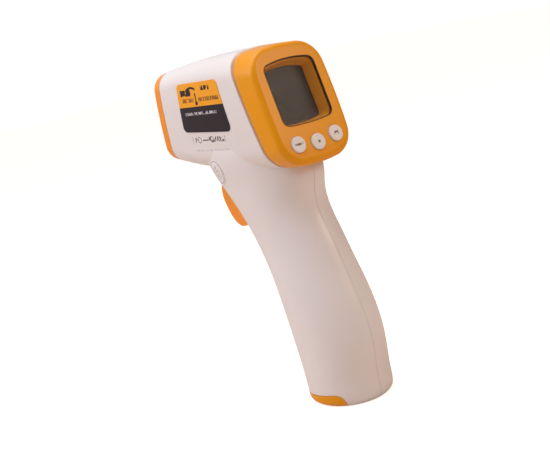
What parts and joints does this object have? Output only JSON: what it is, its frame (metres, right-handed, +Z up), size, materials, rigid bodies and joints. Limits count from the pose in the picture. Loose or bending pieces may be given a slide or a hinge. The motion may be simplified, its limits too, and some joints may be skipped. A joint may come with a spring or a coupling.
{
  "type": "infrared thermometer",
  "caption": "Pistol-grip infrared thermometer with a white two-part shell, orange display cap, push buttons, sprung trigger and a hinged battery door",
  "frame": {"origin": "On the flat base of the grip, on the seam plane between the two shell halves, under the battery cells", "axes": "+Z up along the grip, -Y out of the sensor end, +Y towards the user and the display, +X the user's left; Z = 0 is the base it stands on"},
  "size_m": [0.0374, 0.0953, 0.1467],
  "materials": {
    "white_shell": "satin-gloss injection-moulded ABS",
    "orange_cap": "satin-gloss injection-moulded ABS",
    "orange_trim": "satin-gloss injection-moulded ABS",
    "button_white": "matt moulded plastic, pad printed",
    "black_plastic": "matt moulded ABS",
    "clear_window": "polished clear acrylic",
    "lcd_panel": "display glass behind a polariser",
    "ir_window": "coated silicon filter",
    "sensor_metal": "nickel-plated steel can",
    "barrel_brass": "turned brass",
    "circuit_board": "glass-epoxy laminate with solder mask",
    "chip_black": "moulded epoxy",
    "white_diffuser": "translucent white acrylic",
    "frame_grey": "moulded ABS",
    "silicone": "layered conductive silicone",
    "steel": "zinc-plated steel",
    "spring_steel": "nickel-plated spring wire",
    "cell_jacket": "printed foil jacket",
    "sticker_print": "printed vinyl",
    "sticker_white": "printed paper",
    "wire_red": "PVC-insulated wire",
    "wire_black": "PVC-insulated wire",
    "wire_grey": "PVC-insulated cable"
  },
  "bodies": {
    "housing": {"shell_left": "white_shell", "shell_right": "white_shell", "front_ring": "orange_trim", "rear_cap": "orange_cap", "window_lens": "clear_window", "lcd_glass": "lcd_panel", "side_label": "sticker_print", "round_sticker": "sticker_white", "nose_cone": "black_plastic", "sensor_barrel": "barrel_brass", "sensor_can": "sensor_metal", "sensor_window": "ir_window", "sensor_board": "circuit_board", "lcd_frame": "frame_grey", "backlight": "white_diffuser", "zebra_strips": "silicone", "main_board": "circuit_board", "board_chips": "chip_black", "tact_switches": "chip_black", "board_screws": "steel", "buzzer": "chip_black", "trigger_pin": "steel", "trigger_spring": "spring_steel", "trigger_switch": "chip_black", "switch_board": "circuit_board", "battery_holder": "black_plastic", "cell_left": "cell_jacket", "cell_right": "cell_jacket", "holder_contacts": "spring_steel", "door_pin": "steel", "shell_screws": "steel", "wire_red": "wire_red", "wire_black": "wire_black", "sensor_cable": "wire_grey", "switch_cable": "wire_grey"},
    "button_left": {"button_left": "button_white"},
    "button_middle": {"button_middle": "button_white"},
    "button_right": {"button_right": "button_white"},
    "trigger": {"trigger": "orange_trim"},
    "battery_door": {"battery_door": "orange_cap", "door_plate": "spring_steel", "door_springs": "spring_steel"}
  },
  "joints": [
    {"name": "trigger_pull", "type": "hinge", "parent": "housing", "child": "trigger", "pos_m": [0, -0.044, 0.0925], "axis": [1, 0, 0], "range_deg": [0, 8], "stiffness_Nm_per_rad": 0.15, "springref_deg": -11.46, "deforming": ["trigger_spring"]},
    {"name": "button_left_press", "type": "slide", "parent": "housing", "child": "button_left", "axis": [0, -0.9703, -0.2419], "range_m": [0, 0.0005], "stiffness_N_per_m": 1500, "springref_m": -0.0004},
    {"name": "button_middle_press", "type": "slide", "parent": "housing", "child": "button_middle", "axis": [0, -0.9703, -0.2419], "range_m": [0, 0.0005], "stiffness_N_per_m": 1500, "springref_m": -0.0004},
    {"name": "button_right_press", "type": "slide", "parent": "housing", "child": "button_right", "axis": [0, -0.9703, -0.2419], "range_m": [0, 0.0005], "stiffness_N_per_m": 1500, "springref_m": -0.0004},
    {"name": "battery_door_swing", "type": "hinge", "parent": "housing", "child": "battery_door", "pos_m": [0, 0.0097, 0.0019], "axis": [1, 0, 0], "range_deg": [0, 100]}
  ]
}
